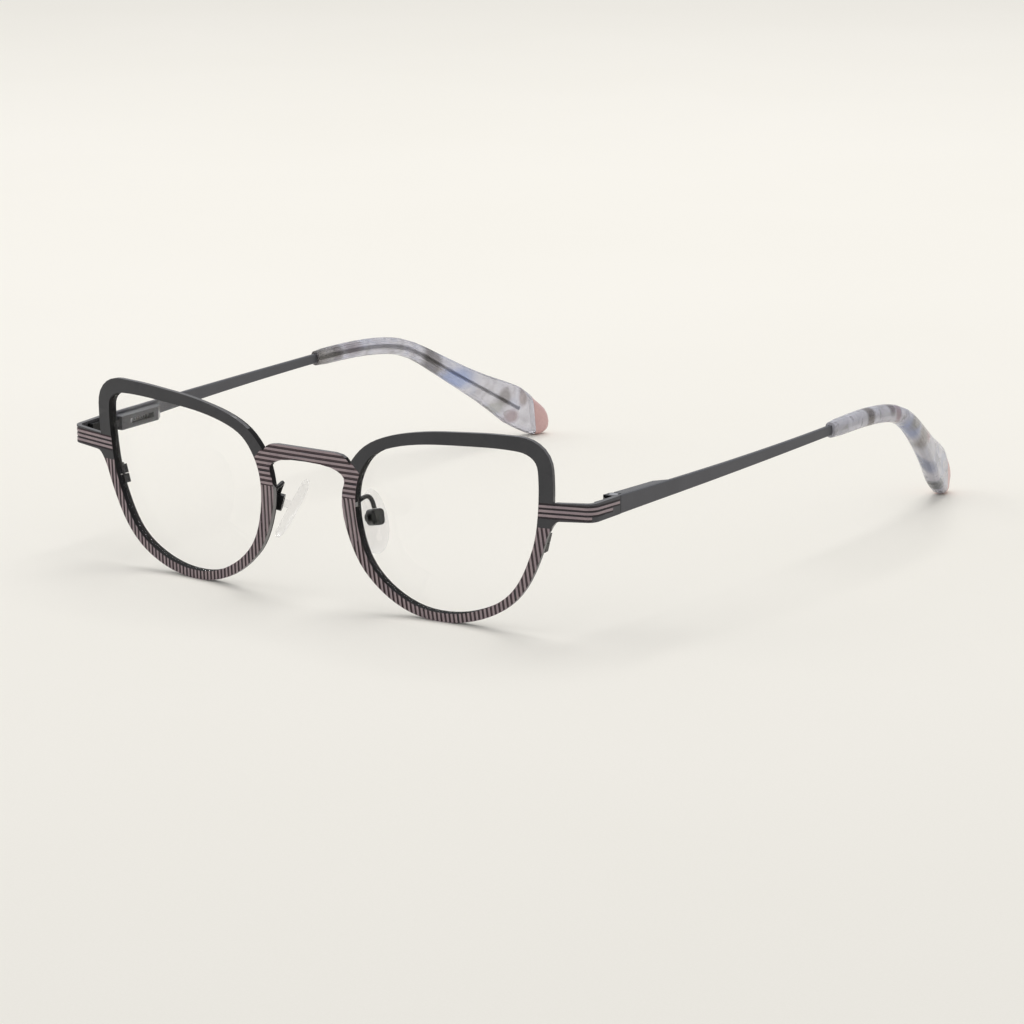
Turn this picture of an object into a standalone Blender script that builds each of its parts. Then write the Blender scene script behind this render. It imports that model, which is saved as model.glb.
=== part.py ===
"""Cat eye glasses: a sheet-metal front with eyewires, lenses, nose pads, flex hinges and acetate tips.

Metres, +Z up. The front faces -Y and the temples run to +Y. Sides are the wearer's: the right one is at -X.
The glasses stand on the floor, Z = 0, on their lower rims and temple tips.
"""
import math

import bmesh
import bpy
import numpy as np
from mathutils import Matrix, Vector
from mathutils.geometry import delaunay_2d_cdt

MM = 0.001
DEG = math.pi / 180

# Clearances
FIT = 0.05 * MM
RUNNING = 0.04 * MM
OVERRUN = 1.0 * MM
NEAR = 0.0001 * MM
STATION_SHARE = 0.3

# Front sheet
SHEET = 0.95 * MM
FACE_RADIUS = 350 * MM
TILT_SHARE = 0.062
LENS_WIDTH = 38.95 * MM
LENS_HEIGHT = 32.45 * MM
LENS_GAP = 22.0 * MM
RIM_WIDTH = 2.5 * MM
BRIDGE_HEIGHT = 2.6 * MM
BRIDGE_TOP_SHARE = 0.855

# Aperture and rim, from the nasal side down and round: width share, height share, rim width share
EYE_SHARES = [
    (0.000, 0.551, 1.20), (0.020, 0.377, 1.00), (0.059, 0.254, 0.84), (0.127, 0.152, 0.74), (0.229, 0.066, 0.72),
    (0.349, 0.012, 0.69), (0.471, 0.000, 0.69), (0.585, 0.017, 0.69), (0.700, 0.063, 0.69), (0.802, 0.134, 0.67),
    (0.878, 0.237, 0.71), (0.929, 0.357, 0.77), (0.967, 0.482, 0.84), (0.990, 0.634, 1.06), (0.999, 0.764, 1.16),
    (1.000, 0.872, 1.16), (0.989, 0.940, 1.20), (0.946, 0.983, 1.19), (0.878, 0.998, 1.10), (0.763, 1.000, 1.04),
    (0.611, 0.992, 1.00), (0.458, 0.980, 0.96), (0.318, 0.958, 0.90), (0.191, 0.918, 0.88), (0.102, 0.862, 0.90),
    (0.051, 0.788, 1.04), (0.020, 0.711, 1.14), (0.004, 0.631, 1.18),
]
EYE_STEPS = 3
BOTTOM_RIM_SHARE = 0.69

# Rows of EYE_SHARES between which the outer edge is the lug's, the bridge's or a pad arm's
LUG_BELOW_ROW_SHARE = 12.34
LUG_ABOVE_ROW_SHARE = 13.67
NOTCH_ROW_SHARE = 25.34
UNDER_BRIDGE_ROW_SHARE = 27.0
PAD_ARM_ROW_SHARE = -0.15
LOCK_ROW_SHARE = 12.0

# Bridge: share of the half lens gap, drop below its top as a share of the bridge height
UNDER_BRIDGE_SHARES = [
    (0.0, 1.0), (0.309, 1.039), (0.518, 1.154), (0.645, 1.32), (0.736, 1.54), (0.786, 1.79), (0.793, 2.10),
    (0.775, 2.38),
]
SHOULDER_SHARES = [(0.886, 0.52), (0.836, 0.28), (0.755, 0.10), (0.618, 0.01), (0.0, 0.0)]

# Lugs
LUG_CLEAR = 1.15 * MM
RIM_SIDE_SHARE = 1.08
LUG_FRONT = 5.1 * MM
LUG_BEND = 2.16 * MM
LUG_SIDE = 6.45 * MM
LUG_HEIGHT = 3.45 * MM
LUG_ROOT_SHARE = 0.673
LUG_BEND_SHARE = 0.684
SEAM_SHARE = 0.695
FILLET_STEPS = 5
BEND_STEPS = 10
STRIP_STEPS = 3

# Eyewire and lens
RIM_DEPTH = 1.9 * MM
EYEWIRE_SHARE = 0.8
GROOVE_DEPTH = 0.5 * MM
GROOVE_WIDTH = 0.6 * MM
LENS_THICKNESS = 1.5 * MM
LENS_BULGE = 1.3 * MM
LENS_CLEARANCE = 0.08 * MM
LENS_RING_SHARES = (0.6,)
LOCK_SLIT = 0.15 * MM

# Rim lock
LOCK_LENGTH = 1.8 * MM
LOCK_WIDTH = 1.4 * MM
LOCK_DEPTH = 1.3 * MM
LOCK_INSET_SHARE = 0.14
LOCK_SCREW_RADIUS = 0.3 * MM
LOCK_HEAD_RADIUS = 0.5 * MM
LOCK_HEAD = 0.35 * MM

# Nose pads
PAD_SPREAD_SHARE = 1.03
PAD_BACK = 5.6 * MM
PAD_HEIGHT_SHARE = 0.463
PAD_FRONTAL = 14 * DEG
PAD_SPLAY = 29 * DEG
PAD_ROCK = 14 * DEG
PAD_TURN = 7.5 * DEG
PAD_LENGTH = 12.6 * MM
PAD_WIDTH = 6.0 * MM
PAD_OFFSET = 0.9 * MM
PAD_TAPER_SHARE = 0.12
PAD_THICKNESS = 1.8 * MM
PAD_GAP = 0.3 * MM
PAD_STANDOFF = 1.2 * MM
PAD_STEPS = 24
PAD_RING_SHARES = ((0.86, 0.0), (1.0, 0.3), (0.97, 0.62), (0.8, 0.88), (0.45, 1.0))
EAR_LENGTH = 1.4 * MM
EAR_WIDTH = 1.0 * MM
EAR_DEPTH = 0.75 * MM
BOX_LENGTH = 3.1 * MM
BOX_WIDTH = 2.6 * MM
BOX_DEPTH = 2.6 * MM
BOX_WALL = 0.5 * MM
BOX_CORNER = 0.8 * MM
BOX_CORNER_STEPS = 3
BOX_SLOT = 1.25 * MM
PAD_SCREW_RADIUS = 0.4 * MM
PAD_SCREW_HEAD_RADIUS = 0.75 * MM
PAD_SCREW_HEAD = 0.4 * MM
ARM_RADIUS = 0.45 * MM
ARM_RUN = 2.6 * MM
ARM_RISE = 3.8 * MM
ARM_BOW = 0.5 * MM
ARM_STEPS = 14
WIRE_SIDES = 8

# Hinge
SPLAY = 2.9 * DEG
SEAM_GAP = 0.1 * MM
PIN_BACK = 0.85 * MM
KNUCKLE_RADIUS = 1.15 * MM
KNUCKLE_GAP = 0.15 * MM
LEAF_HEIGHT = 3.0 * MM
LEAF_REACH = 5.0 * MM
LEAF_TAPER = 0.8 * MM
LEAF_BASE = 1.2 * MM
LEAF_BASE_HEIGHT = 2.2 * MM
EAR_REACH = 1.6 * MM
SLOT_HEIGHT = 1.3 * MM
PIN_RADIUS = 0.5 * MM
PIN_HEAD_RADIUS = 0.85 * MM
PIN_HEAD = 0.4 * MM
TONGUE_HEIGHT = 1.2 * MM
TONGUE_WIDTH = 1.2 * MM
TONGUE_NECK = 4.6 * MM
ROD_RADIUS = 0.36 * MM
ROD_LENGTH = 6.0 * MM
ROD_HEAD_RADIUS = 0.62 * MM
ROD_HEAD = 0.6 * MM
ROUND_SIDES = 20

# Spring case
CASE_START = 1.8 * MM
CASE_LENGTH = 14.4 * MM
CASE_HEIGHT = 2.7 * MM
CASE_TAPER = 2.6 * MM
CASE_TAPER_SHARE = 0.6
CAVITY = 1.5 * MM
CAVITY_LENGTH = 10.4 * MM
WINDOW_HEIGHT = 1.0 * MM
WINDOW_LENGTH = 7.6 * MM
STOP_GAP = 0.5 * MM
STOP_THICKNESS = 0.6 * MM
SPRING_WIRE_RADIUS = 0.1 * MM
SPRING_TURNS = 6
SPRING_TURN_STEPS = 9
SPRING_SIDES = 5

# Temple bar
BAR_THICKNESS = 0.95 * MM
BAR_LENGTH = 70.5 * MM
BAR_STRAIGHT = 15.4 * MM
BAR_FRONT_HEIGHT = 3.42 * MM
BAR_END_HEIGHT = 1.88 * MM
BAR_TAPER_POWER = 1.6
BAR_CHAMFER = 0.15 * MM
BAR_CLIMB = 1.25 * DEG
BAR_END_YAW = -1.0 * DEG
BAR_STEPS = 16

# Temple tip
TIP_LENGTH = 74.1 * MM
TIP_WIDE = 8.5 * MM
TIP_THICKNESS = 3.35 * MM
TIP_DROP = 30.15 * DEG
TIP_HOOK = 17.9 * DEG
TIP_CORNER_SHARE = 0.42
TIP_CORNER_STEPS = 3
TIP_END_LENGTH = 5.1 * MM
TIP_SEAM_LEAN = 35.6 * DEG
CORE_LENGTH_SHARE = 0.875
CORE_HEIGHT = 1.0 * MM
CORE_THICKNESS = 0.9 * MM
CORE_END_SHARE = 0.75
PATH_STEPS = 360
TIP_STEP = 3.0 * MM

# Along the tip: length share, drop share, hook share, height share, rise share of the widest, thickness share
TIP_SHARES = [
    (0.000, -0.03, 0.11, 0.350, 0.000, 0.62), (0.039, -0.02, 0.14, 0.395, 0.000, 0.80),
    (0.127, 0.00, 0.19, 0.405, 0.000, 0.96), (0.224, 0.12, 0.20, 0.412, 0.000, 0.98),
    (0.302, 0.25, 0.22, 0.416, 0.000, 1.00), (0.364, 0.47, 0.26, 0.419, 0.000, 1.00),
    (0.422, 0.78, 0.41, 0.428, 0.000, 1.00), (0.471, 0.95, 0.61, 0.458, 0.000, 1.00),
    (0.519, 0.99, 0.77, 0.492, 0.000, 1.00), (0.566, 1.00, 0.86, 0.530, 0.000, 1.00),
    (0.644, 0.98, 0.94, 0.600, 0.000, 1.00), (0.722, 0.97, 0.99, 0.712, 0.005, 1.00),
    (0.780, 0.98, 1.00, 0.845, 0.010, 1.00), (0.829, 1.00, 1.00, 0.960, 0.010, 1.00),
    (0.852, 1.00, 0.99, 1.000, 0.005, 1.00), (0.887, 0.98, 0.97, 0.960, -0.010, 1.00),
    (0.912, 0.97, 0.96, 0.890, -0.035, 1.00), (0.939, 0.96, 0.95, 0.835, -0.045, 0.99),
    (0.962, 0.96, 0.95, 0.745, -0.048, 0.95), (0.979, 0.96, 0.95, 0.600, -0.056, 0.88),
    (0.992, 0.96, 0.95, 0.400, -0.066, 0.74), (1.000, 0.96, 0.95, 0.200, -0.075, 0.52),
]

# Edges sharper than these angles stay sharp
FLAT_EDGE = 30 * DEG
ROUND_EDGE = 40 * DEG
TIP_EDGE = 50 * DEG
WIRE_EDGE = 60 * DEG
SPRING_EDGE = 80 * DEG

# Worked out from the sizes above
LENS_LEFT = LENS_GAP / 2
LENS_BOTTOM = RIM_WIDTH * BOTTOM_RIM_SHARE
BRIDGE_TOP = LENS_BOTTOM + LENS_HEIGHT * BRIDGE_TOP_SHARE
LUG_ROOT_Z = LENS_BOTTOM + LENS_HEIGHT * LUG_ROOT_SHARE
LUG_BEND_Z = LENS_BOTTOM + LENS_HEIGHT * LUG_BEND_SHARE
PIN_Z = LENS_BOTTOM + LENS_HEIGHT * SEAM_SHARE
FACE_Z = LENS_BOTTOM + LENS_HEIGHT / 2
LUG_START = LENS_LEFT + LENS_WIDTH + RIM_WIDTH * RIM_SIDE_SHARE + LUG_CLEAR
LUG_ANGLE = math.atan(LUG_START / FACE_RADIUS)
BEND_ANGLE = math.pi / 2 - SPLAY - LUG_ANGLE
BEND_LENGTH = LUG_BEND * BEND_ANGLE
BEND_START = LUG_START + LUG_FRONT
BEND_END = BEND_START + BEND_LENGTH
LUG_END = BEND_END + LUG_SIDE
BAR_INNER = KNUCKLE_RADIUS + KNUCKLE_GAP
BAR_CENTRE = BAR_INNER + BAR_THICKNESS / 2
SHEET_OUTER = BAR_INNER + SHEET
GROOVE_MIDDLE = (SHEET + FIT + RIM_DEPTH) / 2


# Mesh helpers

def closed_curve(rows, steps):
    """Smooth closed curve through the rows, with a number of steps from each row to the next."""
    points = np.array(rows)
    count = len(points)
    following = np.roll(points, -1, axis=0)
    span = np.linalg.norm((following - points)[:, :2], axis=1)
    matrix = np.zeros((count, count))
    right = np.zeros_like(points)
    for i in range(count):
        before, after = span[i - 1], span[i]
        matrix[i, i - 1] += before
        matrix[i, i] += 2 * (before + after)
        matrix[i, (i + 1) % count] += after
        right[i] = 6 * ((following[i] - points[i]) / after - (points[i] - points[i - 1]) / before)
    bend = np.linalg.solve(matrix, right)
    curve = []
    for i in range(count):
        for step in range(steps):
            b = step / steps
            a = 1 - b
            straight = a * points[i] + b * following[i]
            curved = (a ** 3 - a) * bend[i] + (b ** 3 - b) * bend[(i + 1) % count]
            curve.append(straight + curved * span[i] ** 2 / 6)
    return curve


def bezier(p0, p1, p2, steps):
    """Points of a quadratic curve, its ends included."""
    points = []
    for i in range(steps + 1):
        t = i / steps
        points.append(tuple((1 - t) ** 2 * a + 2 * t * (1 - t) * b + t * t * c for a, b, c in zip(p0, p1, p2)))
    return points


def circle(radius, sides):
    """A circle's corners, counter-clockwise."""
    return [(radius * math.cos(2 * math.pi * i / sides), radius * math.sin(2 * math.pi * i / sides))
            for i in range(sides)]


def rectangle(width, height):
    """A centred rectangle's corners, counter-clockwise."""
    w, h = width / 2, height / 2
    return [(w, -h), (w, h), (-w, h), (-w, -h)]


def rounded_rectangle(width, height, corner, steps):
    """A centred rectangle with rounded corners, counter-clockwise."""
    points = []
    for quarter, (sx, sy) in enumerate(((1, 1), (-1, 1), (-1, -1), (1, -1))):
        cx, cy = sx * (width / 2 - corner), sy * (height / 2 - corner)
        for i in range(steps + 1):
            angle = (quarter + i / steps) * math.pi / 2
            points.append((cx + corner * math.cos(angle), cy + corner * math.sin(angle)))
    return points


def inside(point, loop):
    """Whether a point lies inside a closed loop."""
    x, y = point
    found = False
    for (x0, y0), (x1, y1) in zip(loop, loop[1:] + loop[:1]):
        if (y0 > y) != (y1 > y) and x < x0 + (y - y0) * (x1 - x0) / (y1 - y0):
            found = not found
    return found


def fill(outer, holes):
    """Triangles of the area between an outer loop and its holes: points and index triples."""
    points, edges = [], []
    for loop in [outer] + holes:
        first = len(points)
        points += [tuple(p) for p in loop]
        edges += [(first + i, first + (i + 1) % len(loop)) for i in range(len(loop))]
    coords = [Vector(p) / MM for p in points]
    verts, _, faces, _, _, _ = delaunay_2d_cdt(coords, edges, [], 0, NEAR / MM)
    flat = [tuple(v * MM) for v in verts]
    kept = []
    for face in faces:
        middle = tuple(sum(flat[i][k] for i in face) / len(face) for k in (0, 1))
        if inside(middle, [tuple(p) for p in outer]) and not any(inside(middle, list(h)) for h in holes):
            kept.append(tuple(face))
    return flat, kept


def thicken(bm, flat, faces, place, low, high):
    """Solid between two levels over a flat mesh; place turns (u, v, level) into a point."""
    bottom = [bm.verts.new(place(u, v, low)) for u, v in flat]
    top = [bm.verts.new(place(u, v, high)) for u, v in flat]
    uses = {}
    for face in faces:
        bm.faces.new([top[i] for i in face])
        bm.faces.new([bottom[i] for i in reversed(face)])
        for a, b in zip(face, face[1:] + face[:1]):
            uses[(a, b)] = True
    for a, b in uses:
        if (b, a) not in uses:
            bm.faces.new((top[b], top[a], bottom[a], bottom[b]))
    for vert in [v for v in bm.verts if not v.link_faces]:
        bm.verts.remove(vert)


def prism(bm, outer, holes, place, low, high):
    """Extruded outline with holes."""
    flat, faces = fill(outer, holes)
    thicken(bm, flat, faces, place, low, high)


def skin(bm, rings, closed=False, capped=True):
    """Joins rings of equal length into a tube; a closed tube's last ring meets its first."""
    rows = [[bm.verts.new(p) for p in ring] for ring in rings]
    pairs = list(zip(rows, rows[1:] + rows[:1])) if closed else list(zip(rows, rows[1:]))
    for one, two in pairs:
        for i in range(len(one)):
            j = (i + 1) % len(one)
            bm.faces.new((one[i], one[j], two[j], two[i]))
    if capped and not closed:
        bm.faces.new(list(reversed(rows[0])))
        bm.faces.new(rows[-1])
    return rows


def turned(bm, profile, sides, place):
    """Solid of revolution from (radius, level) rows; place turns (x, y, level) into a point."""
    rings = [[place(x, y, level) for x, y in circle(radius, sides)] for radius, level in profile]
    skin(bm, rings)


# Materials

def paint(name, colour, roughness, metallic, alpha=1.0):
    """A plain surface."""
    material = bpy.data.materials.new(name)
    material.use_nodes = True
    shader = material.node_tree.nodes["Principled BSDF"]
    shader.inputs["Base Color"].default_value = (*colour, 1.0)
    shader.inputs["Roughness"].default_value = roughness
    shader.inputs["Metallic"].default_value = metallic
    shader.inputs["Alpha"].default_value = alpha
    material.diffuse_color = (*colour, alpha)
    return material


def make_materials():
    """All surfaces of the glasses."""
    return {
        "front": paint("painted_front", (0.05, 0.046, 0.05), 0.5, 0.4),
        "wire": paint("dark_wire", (0.04, 0.038, 0.04), 0.45, 0.6),
        "lens": paint("clear_lens", (0.93, 0.95, 0.95), 0.05, 0.0, 0.2),
        "black": paint("black_metal", (0.01, 0.01, 0.011), 0.3, 0.5),
        "pad": paint("clear_silicone", (0.9, 0.92, 0.92), 0.2, 0.0, 0.4),
        "steel": paint("hinge_steel", (0.33, 0.33, 0.34), 0.35, 0.9),
        "temple": paint("painted_temple", (0.08, 0.075, 0.083), 0.5, 0.4),
        "acetate": paint("marbled_acetate", (0.42, 0.42, 0.47), 0.2, 0.0),
        "pink": paint("pink_acetate", (0.6, 0.36, 0.34), 0.2, 0.0),
    }


# Front coordinates

def sheet_plan(s):
    """Plan position of the sheet's front face, its backward normal and the share of the bend done, at s >= 0."""
    if s <= LUG_START:
        angle = math.atan(s / FACE_RADIUS)
        return s, s * s / (2 * FACE_RADIUS), angle, 0.0
    x, y = LUG_START, LUG_START ** 2 / (2 * FACE_RADIUS)
    run = min(s, BEND_START) - LUG_START
    x += run * math.cos(LUG_ANGLE)
    y += run * math.sin(LUG_ANGLE)
    if s <= BEND_START:
        return x, y, LUG_ANGLE, 0.0
    turn = min(s - BEND_START, BEND_LENGTH) / LUG_BEND
    x += LUG_BEND * (math.sin(LUG_ANGLE + turn) - math.sin(LUG_ANGLE))
    y += LUG_BEND * (math.cos(LUG_ANGLE) - math.cos(LUG_ANGLE + turn))
    angle = LUG_ANGLE + turn
    run = max(s - BEND_END, 0.0)
    return x + run * math.cos(angle), y + run * math.sin(angle), angle, turn / BEND_ANGLE


def sheet_point(s, z, depth):
    """A point on or behind the bent front sheet: s out along it, z up, depth behind its front face."""
    x, y, angle, bent = sheet_plan(abs(s))
    x -= depth * math.sin(angle)
    y += depth * math.cos(angle)
    lean = TILT_SHARE * ((1 - bent) * z + bent * PIN_Z - FACE_Z)
    return Vector((math.copysign(x, s), y - lean, z))


class Eye:
    """Aperture of one eye, with its rim, in the sheet's own coordinates; s is positive."""

    def __init__(self):
        rows = [(LENS_LEFT + LENS_WIDTH * u, LENS_BOTTOM + LENS_HEIGHT * v, RIM_WIDTH * w)
                for u, v, w in EYE_SHARES]
        self.curve = closed_curve(rows, EYE_STEPS)
        self.count = len(self.curve)
        self.normals = []
        for i in range(self.count):
            before, after = self.curve[i - 1], self.curve[(i + 1) % self.count]
            along = Vector((after[0] - before[0], after[1] - before[1])).normalized()
            self.normals.append(Vector((along.y, -along.x)))

    def at(self, station, offset=0.0, share=0.0):
        """Point beside the aperture's edge at a station, outwards by an offset and a share of the rim."""
        low = int(math.floor(station))
        part = station - low
        one, two = self.curve[low % self.count], self.curve[(low + 1) % self.count]
        n = self.normals[low % self.count].lerp(self.normals[(low + 1) % self.count], part).normalized()
        width = one[2] + (two[2] - one[2]) * part
        out = offset + share * width
        return (one[0] + (two[0] - one[0]) * part + n.x * out, one[1] + (two[1] - one[1]) * part + n.y * out)

    def edge(self, offset=0.0, share=0.0):
        """The whole loop beside the aperture's edge."""
        return [self.at(i, offset, share) for i in range(self.count)]

    def stretch(self, first_row, last_row, share):
        """Part of the loop between two rows of the table."""
        first, last = first_row * EYE_STEPS, last_row * EYE_STEPS
        inner = range(math.floor(first) + 1, math.ceil(last))
        stations = [first] + [i for i in inner if min(i - first, last - i) > STATION_SHARE] + [last]
        return [self.at(s, 0.0, share) for s in stations]


def lug_edges(s):
    """Lower and upper edge of the lug at s."""
    if s <= BEND_START:
        share = (s - LUG_START) / LUG_FRONT
        middle = LUG_ROOT_Z + (LUG_BEND_Z - LUG_ROOT_Z) * share
        return middle - LUG_HEIGHT / 2, middle + LUG_HEIGHT / 2
    share = (s - BEND_START) / (LUG_END - BEND_START)
    middle = LUG_BEND_Z + (PIN_Z - LUG_BEND_Z) * share
    height = LUG_HEIGHT + (BAR_FRONT_HEIGHT - LUG_HEIGHT) * share
    return middle - height / 2, middle + height / 2


def bridge_points(shares):
    """Points of the bridge's edge on the +X side."""
    return [(LENS_LEFT * u, BRIDGE_TOP - BRIDGE_HEIGHT * v) for u, v in shares]


def plate_half(eye):
    """Outline of the +X half of the front sheet up to the lugs' roots, from the bridge's underside round."""
    below, above = lug_edges(LUG_START)
    lower = eye.stretch(UNDER_BRIDGE_ROW_SHARE - len(EYE_SHARES), LUG_BELOW_ROW_SHARE, 1.0)
    upper = eye.stretch(LUG_ABOVE_ROW_SHARE, NOTCH_ROW_SHARE, 1.0)
    side = upper[0][0]
    outline = bridge_points(UNDER_BRIDGE_SHARES)
    outline += lower[:-1]
    outline += bezier(lower[-1], (side, below), (LUG_START, below), FILLET_STEPS)
    outline += bezier((LUG_START, above), (side, above), upper[0], FILLET_STEPS)
    outline += upper[1:]
    outline += bridge_points(SHOULDER_SHARES)
    return outline


def lug_strip(flat, faces, sign):
    """Adds the lug's strip of quads beyond its root to a flat mesh."""
    stations = [LUG_START + LUG_FRONT * i / STRIP_STEPS for i in range(STRIP_STEPS)]
    stations += [BEND_START + BEND_LENGTH * i / BEND_STEPS for i in range(BEND_STEPS)]
    stations += [BEND_END + LUG_SIDE * i / STRIP_STEPS for i in range(STRIP_STEPS + 1)]
    pairs = []
    for s in stations:
        pair = []
        for z in lug_edges(s):
            near = [i for i, p in enumerate(flat) if math.hypot(p[0] - sign * s, p[1] - z) < FIT / 2]
            if near:
                pair.append(near[0])
            else:
                flat.append((sign * s, z))
                pair.append(len(flat) - 1)
        pairs.append(pair)
    for (a, b), (c, d) in zip(pairs, pairs[1:]):
        faces.append((a, c, d, b) if sign > 0 else (b, d, c, a))


# Assembly

def rest():
    """Clears the scene's objects."""
    for old in list(bpy.data.objects):
        bpy.data.objects.remove(old, do_unlink=True)


def empty(name, parent, matrix):
    """A frame that carries others."""
    frame = bpy.data.objects.new(name, None)
    bpy.context.collection.objects.link(frame)
    frame.parent = parent
    frame.empty_display_size = PAD_WIDTH
    frame.matrix_basis = matrix
    return frame


def piece(name, bm, material, parent, matrix=None, smooth=None):
    """One named solid from a bmesh in its own coordinates."""
    bmesh.ops.recalc_face_normals(bm, faces=bm.faces)
    mesh = bpy.data.meshes.new(name)
    bm.to_mesh(mesh)
    bm.free()
    if material:
        mesh.materials.append(material)
    if smooth:
        mesh.shade_smooth()
        mesh.set_sharp_from_angle(angle=smooth)
    made = bpy.data.objects.new(name, mesh)
    bpy.context.collection.objects.link(made)
    made.parent = parent
    if matrix:
        made.matrix_basis = matrix
    return made


def combine(target, tool_name, bm, operation):
    """Cuts a hidden solid from a piece, or joins it on."""
    tool = piece(tool_name, bm, None, target.parent, target.matrix_basis.copy())
    tool.hide_render = True
    tool.display_type = "WIRE"
    modifier = target.modifiers.new(tool_name, "BOOLEAN")
    modifier.operation = operation
    modifier.solver = "EXACT"
    modifier.object = tool


def centred(points):
    """Middle of a list of points."""
    return sum(points, Vector()) / len(points)


def place_front(sign, offset=Vector()):
    """Turns sheet coordinates of the +X side into a point beside the piece's own origin."""
    def place(s, z, depth):
        return sheet_point(sign * s, z, depth) - offset
    return place


def front_plate(root, materials, eye):
    """The sheet with bridge, rims and lugs."""
    half = plate_half(eye)
    mirrored = [(-s, z) for s, z in reversed(half)]
    outer = half + mirrored[1:-1]
    hole = eye.edge()
    holes = [hole, [(-s, z) for s, z in reversed(hole)]]
    flat, faces = fill(outer, holes)
    for sign in (1, -1):
        lug_strip(flat, faces, sign)
    bm = bmesh.new()
    thicken(bm, flat, faces, sheet_point, SHEET, 0.0)
    piece("front_plate", bm, materials["front"], root)


def eyewire(side, sign, root, materials, eye):
    """The grooved ring behind the rim, open at its lock."""
    origin = sheet_point(sign * (LENS_LEFT + LENS_WIDTH / 2), FACE_Z, GROOVE_MIDDLE)
    place = place_front(sign, origin)
    front, half = SHEET + FIT, GROOVE_WIDTH / 2
    lock = LOCK_ROW_SHARE * EYE_STEPS
    one, two = Vector(eye.at(lock)), Vector(eye.at(lock + 1))
    slit = LOCK_SLIT / 2 / (two - one).length
    stations = [lock + slit] + [lock + i for i in range(1, eye.count)] + [lock + eye.count - slit]
    rings = []
    for station in stations:
        rows = ((0.0, 0.0, front), (0.0, 0.0, GROOVE_MIDDLE - half), (GROOVE_DEPTH, 0.0, GROOVE_MIDDLE),
                (0.0, 0.0, GROOVE_MIDDLE + half), (0.0, 0.0, RIM_DEPTH), (0.0, EYEWIRE_SHARE, RIM_DEPTH),
                (0.0, EYEWIRE_SHARE, front))
        rings.append([place(*eye.at(station, offset, share), depth) for offset, share, depth in rows])
    bm = bmesh.new()
    skin(bm, rings)
    piece(f"{side}_eyewire", bm, materials["wire"], root, Matrix.Translation(origin), ROUND_EDGE)


def lens(side, sign, root, materials, eye):
    """The bulged lens with its bevelled edge."""
    centre = Vector((LENS_LEFT + LENS_WIDTH / 2, FACE_Z))
    origin = sheet_point(sign * centre.x, centre.y, GROOVE_MIDDLE)
    place = place_front(sign, origin)
    half = LENS_THICKNESS / 2
    bevel = GROOVE_WIDTH / 2 * (GROOVE_DEPTH - LENS_CLEARANCE) / GROOVE_DEPTH
    edge = eye.edge(-LENS_CLEARANCE)
    apex = eye.edge(GROOVE_DEPTH - 2 * LENS_CLEARANCE)

    def ring(share, depth):
        points = [centre + (Vector(p) - centre) * share for p in edge]
        return [place(*p, depth - LENS_BULGE * (1 - share * share)) for p in points]

    rings = [ring(share, GROOVE_MIDDLE - half) for share in reversed(LENS_RING_SHARES)]
    rings.append(ring(1, GROOVE_MIDDLE - half))
    rings.append(ring(1, GROOVE_MIDDLE - bevel))
    rings.append([place(*p, GROOVE_MIDDLE) for p in apex])
    rings.append(ring(1, GROOVE_MIDDLE + bevel))
    rings.append(ring(1, GROOVE_MIDDLE + half))
    rings += [ring(share, GROOVE_MIDDLE + half) for share in LENS_RING_SHARES]
    bm = bmesh.new()
    rows = skin(bm, rings, capped=False)
    for row, depth in ((rows[0], GROOVE_MIDDLE - half), (rows[-1], GROOVE_MIDDLE + half)):
        middle = bm.verts.new(place(*centre, depth - LENS_BULGE))
        for i in range(len(row)):
            bm.faces.new((row[i], row[(i + 1) % len(row)], middle))
    piece(f"{side}_lens", bm, materials["lens"], root, Matrix.Translation(origin), FLAT_EDGE)


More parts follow.
